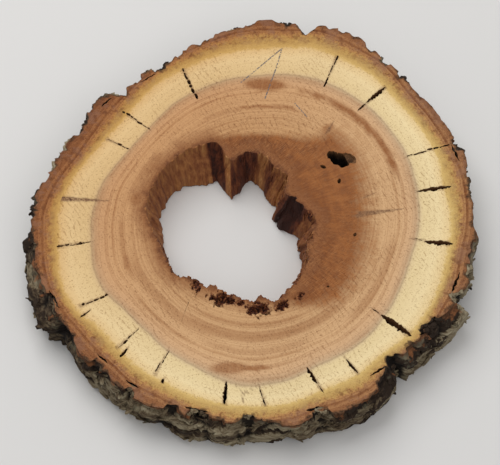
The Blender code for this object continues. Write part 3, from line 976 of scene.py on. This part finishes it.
def wood_chips(wood, heights, radii, finish):
    """Crumbs in the rotten pits and at the ragged front rim, and splinters on the hollow's wall."""
    x, y, z = points_of(wood.data).T
    degrees, radius = angle_and_radius(x - HOLLOW_MIDDLE[0], y - HOLLOW_MIDDLE[1])
    rim = radius - read_radii(heights, radii, degrees, np.where(z > TOP / 2, TOP, LOW[2]))
    in_pit = smooth_step(0.4, 1.5, pit_depth(x, y)) * (z > TOP - 7)
    ragged = (rim < 1.5) * (z > TOP - 6) * (degrees > 235) * (degrees < 325) * 0.25
    wall = (rim < 1.0) * (z < TOP - 3) * (z > LOW[2] + 4)
    torn = np.interp(degrees, *zip(*WALL_SPLITS)) ** 2
    crumbs = scatter("rot_crumbs", wood, np.maximum(in_pit, ragged), CRUMBS, finish)
    return crumbs, scatter("wall_splinters", wood, wall * torn, SPLINTERS, finish)


def read_mesh(tree, names):
    """What a material reads: the place on the object in mm, and the attributes of its points."""
    place = add(tree, "ShaderNodeTexCoord", out="Object")
    read = SimpleNamespace(mm=add(tree, MAPPING, {"Vector": place, "Scale": (1000, 1000, 1000)}))
    for name in names:
        setattr(read, name, add(tree, "ShaderNodeAttribute", out="Fac", attribute_name=name))
    return read


def lay_over(tree, colour, layers):
    """Lays layers over a colour, each by its own share, colour and way of mixing."""
    for share, tone, blend in layers:
        colour = add(tree, "ShaderNodeMix", {0: share, 6: colour, 7: tone}, out=2,
                     data_type="RGBA", blend_type=blend)
    return colour


def finish_material(tree, colour, roughness, height, relief, shine):
    """The shader: a matt surface with its fine relief."""
    bump = add(tree, "ShaderNodeBump", {"Height": height, "Strength": 1.0, "Distance": relief})
    shader = add(tree, "ShaderNodeBsdfPrincipled", {
        "Base Color": colour, "Roughness": roughness, "Normal": bump, "Specular IOR Level": shine})
    add(tree, "ShaderNodeOutputMaterial", {"Surface": shader})


def growth_colour(tree, read):
    """Colour across the rings: tan heartwood, its grey edge, cream sapwood, ochre and brown bark."""
    wander = add(tree, NOISE, {"Vector": read.mm, "Scale": 1 / 24, "Detail": 2.0})
    fray = add(tree, NOISE, {"Vector": read.mm, "Scale": 1 / 1.4, "Detail": 3.0})
    mottle = add(tree, NOISE, {"Vector": read.mm, "Scale": 1 / 3, "Detail": 5.0, "Roughness": 0.7})
    mottle = add(tree, MATH, (mottle, 0.5), operation="SUBTRACT")
    loose = add(tree, RANGE, (read.ring, 117, 126, 0, 11.0))
    wandered = add(tree, MATH, (wander, 3.0, read.ring), operation="MULTIPLY_ADD")
    moved = add(tree, MATH, (fray, 1.3, wandered), operation="MULTIPLY_ADD")
    moved = add(tree, MATH, (mottle, loose, moved), operation="MULTIPLY_ADD")
    centred = add(tree, MATH, (moved, 2.15), operation="SUBTRACT")
    inmost, outmost = GROWTH_COLOURS[0][0], GROWTH_COLOURS[-1][0]
    share = add(tree, RANGE, (centred, inmost, outmost))
    stops = [((ring - inmost) / (outmost - inmost), code) for ring, code in GROWTH_COLOURS]
    colour = add(tree, RAMP, (share,), stops)
    bands, ring_share = growth_bands(tree, read, wandered)
    layers = ((ring_share, "#B08A66", "MULTIPLY"), (read.warm, "#F0E0D1", "MULTIPLY"))
    return lay_over(tree, colour, layers), bands


def growth_bands(tree, read, wandered):
    """Years of dark and pale growth, and how strongly they show in the heartwood and the bark."""
    bands = add(tree, NOISE, {"W": wandered, "Scale": 0.27, "Detail": 4.0, "Roughness": 0.6},
                noise_dimensions="1D")
    fine = add(tree, NOISE, {"W": wandered, "Scale": 0.95, "Detail": 2.0, "Roughness": 0.7},
               noise_dimensions="1D")
    patchy = add(tree, NOISE, {"Vector": read.mm, "Scale": 1 / 30, "Detail": 2.0})
    where = add(tree, RANGE, (patchy, 0.36, 0.6, 0.35, 1.0))
    heart = add(tree, RANGE, (read.ring, 98, 105, 0.50, 0.12))
    layers = add(tree, RANGE, (read.ring, 127, 131, 0, 0.8))
    heart = add(tree, MATH, (heart, layers), operation="ADD")
    dark = add(tree, RANGE, (bands, 0.44, 0.70))
    amount = add(tree, MATH, (dark, heart), operation="MULTIPLY")
    amount = add(tree, MATH, (amount, where), operation="MULTIPLY")
    fine = add(tree, RANGE, (fine, 0.50, 0.66, 0, 0.55))
    fine = add(tree, MATH, (fine, heart), operation="MULTIPLY")
    return bands, add(tree, MATH, (amount, fine), operation="MAXIMUM")


def saw_hatch(tree, mm, turn, width, length, low, high):
    """Torn dashes that the saw left across the face, all at one angle."""
    turned = add(tree, MAPPING, {"Vector": mm, "Rotation": (0, 0, math.radians(turn))})
    stretched = add(tree, MAPPING, {"Vector": turned, "Scale": (1 / length, 1 / width, 0)})
    dashes = add(tree, NOISE, {"Vector": stretched, "Scale": 1.0, "Detail": 2.0})
    where = add(tree, NOISE, {"Vector": mm, "Scale": 1 / 38, "Detail": 2.0})
    dash = add(tree, RANGE, (dashes, low, high))
    patch = add(tree, RANGE, (where, 0.38, 0.62))
    return add(tree, MATH, (dash, patch), operation="MULTIPLY")


def saw_lines(tree, mm, turn, spacing):
    """Thin lines that the saw's teeth tore across the face, all at one angle and broken up."""
    turned = add(tree, MAPPING, {"Vector": mm, "Rotation": (0, 0, math.radians(turn))})
    across = add(tree, "ShaderNodeSeparateXYZ", (turned,), out="Y")
    wobble = add(tree, NOISE, {"Vector": mm, "Scale": 1 / 14, "Detail": 3.0})
    place = add(tree, MATH, (wobble, 3.0 * spacing, across), operation="MULTIPLY_ADD")
    away = add(tree, MATH, (place, spacing / 2), operation="PINGPONG")
    line = add(tree, RANGE, (away, 0.12, 0.45, 1.0, 0.0))
    torn = add(tree, NOISE, {"Vector": mm, "Scale": 1 / 2.2, "Detail": 3.0})
    torn = add(tree, RANGE, (torn, 0.44, 0.60))
    where = add(tree, NOISE, {"Vector": mm, "Scale": 1 / 45, "Detail": 2.0})
    where = add(tree, RANGE, (where, 0.42, 0.62))
    line = add(tree, MATH, (line, torn), operation="MULTIPLY")
    return add(tree, MATH, (line, where), operation="MULTIPLY")


def pencil_strokes(tree, mm):
    """1 on the pencil lines of the upper face and 0 off them."""
    flat = add(tree, VECTOR, (mm, (1, 1, 0)), operation="MULTIPLY")
    nearest = None
    for start, end in PENCIL:
        run = np.array(end) - start
        away = add(tree, VECTOR, (flat, (*start, 0)), operation="SUBTRACT")
        share = add(tree, VECTOR, (away, (*(run / (run @ run)), 0)), out="Value",
                    operation="DOT_PRODUCT")
        held = add(tree, "ShaderNodeClamp", (share,))
        back = add(tree, VECTOR, {0: (*run, 0), "Scale": held}, operation="SCALE")
        gap = add(tree, VECTOR, (away, back), out="Value", operation="DISTANCE")
        nearest = add(tree, MATH, (nearest, gap), operation="MINIMUM") if nearest else gap
    line = add(tree, RANGE, (nearest, PENCIL_WIDTH * 0.35, PENCIL_WIDTH * 0.75, 1.0, 0.0))
    speckle = add(tree, NOISE, {"Vector": mm, "Scale": 1 / 1.1, "Detail": 1.0})
    worn = add(tree, RANGE, (speckle, 0.36, 0.55))
    height = add(tree, "ShaderNodeSeparateXYZ", (mm,), out="Z")
    upper = add(tree, MATH, (height, TOP - 1), operation="GREATER_THAN")
    drawn = add(tree, MATH, (line, worn), operation="MULTIPLY")
    return add(tree, MATH, (drawn, upper), operation="MULTIPLY")


def rot_layers(tree, read, bands):
    """The dark heart, with its share, then stains, closed checks and the brown rim of the hollow."""
    frayed = add(tree, MATH, (bands, 0.3, read.blotch), operation="MULTIPLY_ADD")
    frayed = add(tree, MATH, (read.fan, frayed), operation="ADD")
    ragged = add(tree, MATH, (frayed, 0.6, read.dark_heart), operation="MULTIPLY_ADD")
    dark = add(tree, RANGE, (ragged, 0.80, 1.55))
    near = add(tree, RANGE, (read.rim, 0.0, 16.0, -0.16, 0.04))
    tone = add(tree, MATH, (read.speck, frayed), operation="ADD")
    tone = add(tree, MATH, (tone, 0.303, near), operation="MULTIPLY_ADD")
    dark_tone = add(tree, RAMP, (tone,), DARK_HEART_COLOURS)
    streaky = add(tree, RANGE, (read.fan, 0.35, 0.55, 0.85, 1.0))
    stain = add(tree, MATH, (streaky, read.stain), operation="MULTIPLY")
    worn = add(tree, RANGE, (read.speck, 0.36, 0.56, 0.55, 1.0))
    smear = add(tree, MATH, (read.smear, worn), operation="MULTIPLY")
    uneven = add(tree, MATH, (read.blotch, 9.0, read.rim), operation="MULTIPLY_ADD")
    rim = add(tree, RANGE, (uneven, 6.5, 16.0, 0.92, 0.0))
    lip = add(tree, RANGE, (uneven, 4.0, 7.5, 0.9, 0.0))
    return dark, (
        (dark, dark_tone, "MIX"), (stain, "#935D33", "MIX"), (smear, "#76543A", "MIX"),
        (rim, "#8A562F", "MIX"), (lip, "#633619", "MIX"),
    )


def saw_layers(tree, read, dark):
    """How torn the sawn face is, then the marks on it: saw, pores, rays, grit and pencil."""
    hatch = saw_hatch(tree, read.mm, 64, 0.45, 4.5, 0.52, 0.68)
    lines = saw_lines(tree, read.mm, 58, 3.1)
    fainter = add(tree, MATH, (hatch, 0.4), operation="MULTIPLY")
    torn = add(tree, MATH, (lines, fainter), operation="MAXIMUM")
    torn_share = add(tree, MATH, (torn, 0.45), operation="MULTIPLY")
    pale = saw_hatch(tree, read.mm, -38, 0.55, 5.0, 0.52, 0.66)
    pale = add(tree, MATH, (pale, 0.38), operation="MULTIPLY")
    pale = add(tree, MATH, (pale, dark), operation="MULTIPLY")
    # Pores and rays are a quarter of a millimetre wide, too fine to show, so both are drawn coarser.
    pore = add(tree, RANGE, (read.speck, 0.58, 0.72, 0, 0.5))
    rays_at = add(tree, MAPPING, {"Vector": read.round_rim, "Scale": (1 / 0.7, 1 / 5, 1)})
    rays = add(tree, NOISE, {"Vector": rays_at, "Scale": 1.0, "Detail": 2.0})
    ray = add(tree, RANGE, (rays, 0.50, 0.66, 0, 0.55))
    grit = add(tree, RANGE, (read.speck, 0.30, 0.44, 0.5, 0.0))
    return torn, (
        (torn_share, "#A88458", "MULTIPLY"), (pale, "#B67E4B", "MIX"), (pore, "#8C6136", "MULTIPLY"),
        (ray, "#46321F", "SCREEN"), (grit, "#54402A", "SCREEN"),
        (pencil_strokes(tree, read.mm), "#676262", "MIX"),
    )


def torn_wall(tree, read):
    """The relief of the fibres down the hollow's wall, and the colour of the wall, and of the cracks and
    holes with painted shade that darkens deeper in them.
    """
    fibres_at = add(tree, MAPPING, {"Vector": read.mm, "Scale": (1 / 2.4, 1 / 2.4, 1 / 26)})
    fibres = add(tree, NOISE, {"Vector": fibres_at, "Scale": 1.0, "Detail": 5.0, "Roughness": 0.6})
    depth_tone = add(tree, RANGE, (read.deep, 0, 15, 0.06, -0.06))
    streaks = add(tree, MATH, (fibres, 0.9, read.wall_light), operation="MULTIPLY_ADD")
    lit = add(tree, MATH, (streaks, depth_tone), operation="ADD")
    lit = add(tree, MATH, (lit, 0.45), operation="SUBTRACT")
    wall_tone = add(tree, RAMP, (lit,), WALL_COLOURS)
    # Painted shade in the cracks and holes, darker the deeper they go.
    crack_shade_depth = add(tree, MATH, (read.speck, -4.0, read.deep), operation="MULTIPLY_ADD")
    crack_shade_depth = add(tree, RANGE, (crack_shade_depth, -2.0, 9.0))
    crack_shade_tone = add(tree, RAMP, (crack_shade_depth,), CRACK_SHADE_COLOURS)
    in_crack = add(tree, RANGE, (read.rim, 9, 11))
    return fibres, lay_over(tree, wall_tone, ((in_crack, crack_shade_tone, "MIX"),))


def end_grain_material():
    """Dry, unsealed end grain: matt, torn by the saw, darker where rot and water stained it, with painted
    shade deep in its cracks and holes.
    """
    material, tree = new_material("sawn_dry_end_grain")
    read = read_mesh(tree, (
        "ring", "rim", "deep", "dark_heart", "stain", "smear", "wall_light", "turn", "warm"))
    read.blotch = add(tree, NOISE, {"Vector": read.mm, "Scale": 1 / 6, "Detail": 4.0})
    read.speck = add(tree, NOISE, {"Vector": read.mm, "Scale": 1 / 0.9, "Detail": 2.0})
    read.round_rim = add(tree, "ShaderNodeCombineXYZ", (read.turn, read.rim))
    fan_at = add(tree, MAPPING, {"Vector": read.round_rim, "Scale": (1 / 1.3, 1 / 16, 1)})
    read.fan = add(tree, NOISE, {"Vector": fan_at, "Scale": 1.0, "Detail": 4.0, "Roughness": 0.65})
    colour, bands = growth_colour(tree, read)
    dark, rot = rot_layers(tree, read, bands)
    torn, saw_marks = saw_layers(tree, read, dark)
    fibres, wall_tone = torn_wall(tree, read)
    below = add(tree, RANGE, (read.deep, 0.15, 0.6))
    # Below the upper face: the hollow's wall, and painted shade in the cracks and holes.
    colour = lay_over(tree, colour, (*rot, *saw_marks, (below, wall_tone, "MIX")))

    sawn = add(tree, MATH, (torn, -0.5, read.speck), operation="MULTIPLY_ADD")
    sawn = add(tree, MATH, (bands, 0.5, sawn), operation="MULTIPLY_ADD")
    fibre = add(tree, MATH, (fibres, 3.0), operation="MULTIPLY")
    height = add(tree, "ShaderNodeMix", {0: below, 2: sawn, 3: fibre})
    roughness = add(tree, RANGE, (read.blotch, 0, 1, 0.66, 0.9))
    finish_material(tree, colour, roughness, height, WOOD_RELIEF, WOOD_SHINE)
    return material


def cut_bark_layers(tree, read):
    """The bark's cut faces: flecks, mauve and dark patches, and a dark crust at the outer edge."""
    layered = add(tree, RANGE, (read.ring, 123, 129))
    fleck = add(tree, RANGE, (read.crumbs, 0.5, 0.7, 0, 0.55))
    fleck = add(tree, MATH, (fleck, layered), operation="MULTIPLY")
    mauve = add(tree, RANGE, (read.growth, 0.50, 0.58, 0, 0.45))
    mauve = add(tree, MATH, (mauve, layered), operation="MULTIPLY")
    blotch = add(tree, RANGE, (read.blotch, 0.53, 0.66, 0, 0.75))
    blotch = add(tree, MATH, (blotch, layered), operation="MULTIPLY")
    edge = add(tree, MATH, (read.blotch, -9.0, read.inside), operation="MULTIPLY_ADD")
    crust = add(tree, RANGE, (edge, -4.0, -2.6, 0.9, 0.0))
    patchy = add(tree, RANGE, (read.growth, 0.44, 0.56, 1.0, 0.15))
    crust = add(tree, MATH, (crust, patchy), operation="MULTIPLY")
    crust_tone = add(tree, RAMP, (read.crumbs,), CRUST_COLOURS)
    return (
        (fleck, "#946038", "MULTIPLY"), (mauve, "#8A6450", "MIX"), (blotch, "#6B3E24", "MIX"),
        (crust, crust_tone, "MIX"),
    )


def bark_outside(tree, read):
    """The bark's outside: grey-brown shreds, red under the upper edge, with painted shade just under the
    upper edge and in furrows and breaks.
    """
    tone = add(tree, MATH, (read.plate, 0.22, read.grain), operation="MULTIPLY_ADD")
    colour = add(tree, RAMP, (tone,), OUTSIDE_COLOURS)
    low = add(tree, MATH, (read.blotch, 22.0, read.below_top), operation="MULTIPLY_ADD")
    red = add(tree, RANGE, (low, 12.5, 15.0, 0.9, 0.0))
    # Painted shade in a broken band just under the upper edge, where the cut ring overhangs the plates.
    painted_rim_shade = add(tree, MATH, (read.grain, -14.0, read.below_top), operation="MULTIPLY_ADD")
    painted_rim_shade = add(tree, RANGE, (painted_rim_shade, -6.0, -2.0, 0.75, 0.0))
    lichen = add(tree, RANGE, (read.growth, 0.57, 0.66, 0, 0.35))
    # Painted shade in furrows and breaks, from how far the surface lies below its surroundings.
    sunk = add(tree, MATH, (read.grain, 3.0, read.relief), operation="MULTIPLY_ADD")
    shadow = add(tree, RANGE, (sunk, -0.8, 1.2, 0.95, 0.0))
    return lay_over(tree, colour, (
        (red, "#8F5A35", "MIX"), (painted_rim_shade, "#20150D", "MIX"), (lichen, "#85826A", "MIX"),
        (shadow, "#150E09", "MIX"),
    ))


def bark_material():
    """Split bark: sawn brown layers on its cut faces, weathered grey-brown plates outside with painted
    shade in their furrows and under the upper edge.
    """
    material, tree = new_material("weathered_split_bark")
    names = ("ring", "inside", "relief", "deep", "below_top", "plate", "warm")
    read = read_mesh(tree, names)
    read.blotch = add(tree, NOISE, {"Vector": read.mm, "Scale": 1 / 5, "Detail": 5.0,
                                    "Roughness": 0.6})
    read.crumbs = add(tree, NOISE, {"Vector": read.mm, "Scale": 1 / 0.8, "Detail": 3.0})
    read.growth = add(tree, NOISE, {"Vector": read.mm, "Scale": 1 / 11, "Detail": 6.0,
                                    "Roughness": 0.75})
    grain_at = add(tree, MAPPING, {"Vector": read.mm, "Scale": (1 / 6, 1 / 6, 1 / 1.3)})
    read.grain = add(tree, NOISE, {"Vector": grain_at, "Scale": 1.0, "Detail": 6.0,
                                   "Roughness": 0.66})
    below = add(tree, RANGE, (read.deep, 0.1, 0.7))
    layers = (*cut_bark_layers(tree, read), (below, bark_outside(tree, read), "MIX"))
    colour = lay_over(tree, growth_colour(tree, read)[0], layers)

    cut_height = add(tree, MATH, (read.crumbs, 0.6), operation="MULTIPLY")
    height = add(tree, "ShaderNodeMix", {0: below, 2: cut_height, 3: read.grain})
    roughness = add(tree, RANGE, (read.blotch, 0, 1, 0.75, 0.98))
    finish_material(tree, colour, roughness, height, BARK_RELIEF, BARK_SHINE)
    return material


def make_floor():
    """A plain pale table top under the slice."""
    bm = bmesh.new()
    bmesh.ops.create_grid(bm, x_segments=1, y_segments=1, size=FLOOR_SIZE)
    bmesh.ops.translate(bm, verts=bm.verts, vec=(0, 0, (LOW[2] - FLOOR_GAP) * MM))
    floor = placed("floor", mesh_from(bm, "floor"))
    material, tree = new_material("pale_floor")
    shader = add(tree, "ShaderNodeBsdfPrincipled", {"Base Color": FLOOR_COLOUR, "Roughness": 0.6})
    add(tree, "ShaderNodeOutputMaterial", {"Surface": shader})
    floor.data.materials.append(material)


def make_camera():
    """The photographer's view of the slice."""
    data = bpy.data.cameras.new("camera")
    data.lens = VIEW_LENS
    data.sensor_width = VIEW_SENSOR
    camera = placed("camera", data)
    up = math.radians(VIEW_ELEVATION)
    back = Vector((0, -math.cos(up), math.sin(up)))
    camera.location = (Vector(VIEW_AIM) + back * VIEW_DISTANCE) * MM
    camera.rotation_euler = back.to_track_quat("Z", "Y").to_euler()
    bpy.context.scene.camera = camera


def make_light(name, azimuth, elevation, distance, size, power):
    """A soft square lamp that faces the slice."""
    turn, up = math.radians(azimuth), math.radians(elevation)
    away = Vector((math.sin(turn) * math.cos(up), -math.cos(turn) * math.cos(up), math.sin(up)))
    data = bpy.data.lights.new(name, "AREA")
    data.size = size
    data.energy = power
    light = placed(name, data)
    light.location = away * distance
    light.rotation_euler = away.to_track_quat("Z", "Y").to_euler()


def make_lights():
    """Soft studio light: a lamp behind on the left, a weaker one in front, and a pale sky."""
    make_light("key", *KEY_LAMP)
    make_light("fill", *FILL_LAMP)
    world = bpy.data.worlds.new("studio")
    world.use_nodes = True
    backdrop = world.node_tree.nodes["Background"]
    backdrop.inputs["Color"].default_value = linear(SKY_COLOUR)
    backdrop.inputs["Strength"].default_value = SKY_STRENGTH
    bpy.context.scene.world = world
    bpy.context.scene.view_settings.view_transform = "Standard"


def shade(obj, material, angle):
    """Gives a piece its material, smooth but for edges sharper than an angle."""
    obj.data.materials.clear()
    obj.data.materials.append(material)
    obj.data.shade_smooth()
    obj.data.set_sharp_from_angle(angle=math.radians(angle))


def carve_all(wood, bark):
    """Cuts the cracks into both pieces and the holes into the wood."""
    cracks = crack_cutter()
    carve(wood, cracks.copy())
    for number, hole in enumerate(HOLES):
        carve(wood, hole_cutter(number, *hole))
    carve(bark, cracks)


def rim_radii():
    """The hollow's edge at the lower and the upper face, without the narrow pits that open into it."""
    heights, radii = cad_radii(HOLLOW_MIDDLE, False, READ_RIM_COLUMNS, 2)
    near = [np.roll(radii, shift, axis=1) for shift in range(-RIM_REACH, RIM_REACH + 1)]
    return heights, np.median(near, axis=0)


def main():
    make_camera()
    make_lights()
    make_floor()
    wood = make_wood()
    levels, table, tones = bark_table()
    bark = make_bark(levels, table)
    carve_all(wood, bark)
    heights, radii = rim_radii()
    wood_finish, bark_finish = end_grain_material(), bark_material()
    flakes, edge_crumbs = bark_chips(bark, levels, table, bark_finish)
    crumbs, splinters = wood_chips(wood, heights, radii, wood_finish)
    for piece in (wood, crumbs, splinters):
        mark_wood(piece, heights, radii)
        shade(piece, wood_finish, WOOD_SHARP)
    barky = ((bark, False, BARK_SHARP), (flakes, True, FLAKE_SHARP), (edge_crumbs, True, CRUMB_SHARP))
    for piece, loose, sharp in barky:
        mark_bark(piece, levels, table, tones, loose)
        shade(piece, bark_finish, sharp)
    for piece in (wood, bark, flakes, edge_crumbs, crumbs, splinters):
        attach(piece, "root")
        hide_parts("wood_slice")


main()
